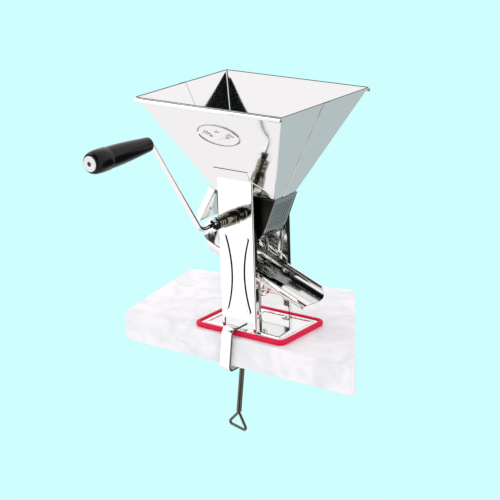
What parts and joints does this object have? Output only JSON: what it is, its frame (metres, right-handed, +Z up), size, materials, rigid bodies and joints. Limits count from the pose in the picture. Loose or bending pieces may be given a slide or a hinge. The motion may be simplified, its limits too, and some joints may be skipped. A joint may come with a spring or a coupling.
{
  "type": "hand-cranked tomato press",
  "caption": "Clamp-on hand-cranked press: a square hopper feeds a rotor over a perforated screen, juice runs down a sloping trough and pulp leaves by a hooded slide",
  "frame": {"origin": "centre of the base's underside, on the worktop plane", "axes": "+Z up, +X towards the juice lip, -Y towards the crank grip"},
  "size_m": [0.2422, 0.4038, 0.4896],
  "materials": {
    "polished_sheet": "mirror-polished stainless sheet",
    "fittings": "polished steel",
    "rotor_steel": "plain stainless",
    "crank_steel": "bright plated rod",
    "ferrule_steel": "dark bright steel",
    "clamp_steel": "bright plated steel",
    "red_rubber": "smooth crimson rubber",
    "black_plastic": "glossy black",
    "white_cap": "satin white"
  },
  "bodies": {
    "frame": {"base_gasket": "red_rubber", "base_plate": "polished_sheet", "front_leg": "polished_sheet", "rear_leg": "polished_sheet", "hopper_front_shell": "polished_sheet", "hopper_rear_shell": "polished_sheet", "front_rim_roll": "polished_sheet", "rear_rim_roll": "polished_sheet", "hopper_badge": "polished_sheet", "front_cheek": "polished_sheet", "rear_cheek": "polished_sheet", "sieve_screen": "polished_sheet", "waste_hood": "polished_sheet", "waste_slide": "polished_sheet", "juice_trough": "polished_sheet", "trough_saddle_1": "polished_sheet", "trough_saddle_2": "polished_sheet", "trough_clip": "fittings", "front_bush": "fittings", "front_bush_nut": "fittings", "rear_bush": "fittings", "rear_bush_nut": "fittings", "foot_tab_1": "fittings", "foot_tab_2": "fittings", "foot_tab_3": "fittings", "foot_tab_4": "fittings", "foot_rivet_1": "fittings", "foot_rivet_2": "fittings", "foot_rivet_3": "fittings", "foot_rivet_4": "fittings"},
    "crank": {"rotor_hub": "rotor_steel", "rotor_blade_1": "rotor_steel", "rotor_blade_2": "rotor_steel", "rotor_blade_3": "rotor_steel", "rotor_blade_4": "rotor_steel", "drive_shaft": "rotor_steel", "shaft_washer": "rotor_steel", "retaining_ring": "rotor_steel", "crank_ferrule": "ferrule_steel", "crank_lock_ring": "ferrule_steel", "crank_nut": "crank_steel", "crank_rod": "crank_steel"},
    "grip": {"crank_grip": "black_plastic", "grip_end_cap": "white_cap"},
    "clamp": {"clamp_bar": "clamp_steel", "clamp_boss": "clamp_steel"},
    "pad": {"clamp_pad": "clamp_steel"},
    "screw": {"clamp_screw": "clamp_steel", "screw_loop": "clamp_steel"}
  },
  "joints": [
    {"name": "crank_turn", "type": "hinge", "parent": "frame", "child": "crank", "pos_m": [-0.006, 0, 0.169], "axis": [0, 1, 0], "continuous": true},
    {"name": "grip_spin", "type": "hinge", "parent": "crank", "child": "grip", "pos_m": [-0.02422, -0.18803, 0.29943], "axis": [0, 1, 0], "continuous": true},
    {"name": "clamp_rock", "type": "hinge", "parent": "frame", "child": "clamp", "pos_m": [-0.009, -0.045, 0.01245], "axis": [0, 1, 0], "range_deg": [-15, 1]},
    {"name": "pad_lift", "type": "slide", "parent": "clamp", "child": "pad", "axis": [0.1219, 0, 0.9925], "range_m": [0, 0.035]},
    {"name": "screw_turn", "type": "hinge", "parent": "pad", "child": "screw", "pos_m": [-0.01576, -0.02, -0.04259], "axis": [0.1219, 0, 0.9925], "range_deg": [0, 6310]}
  ],
  "couplings": [
    {"joint": "screw_turn", "follows": "pad_lift", "rad_per_m": 3141.6}
  ]
}
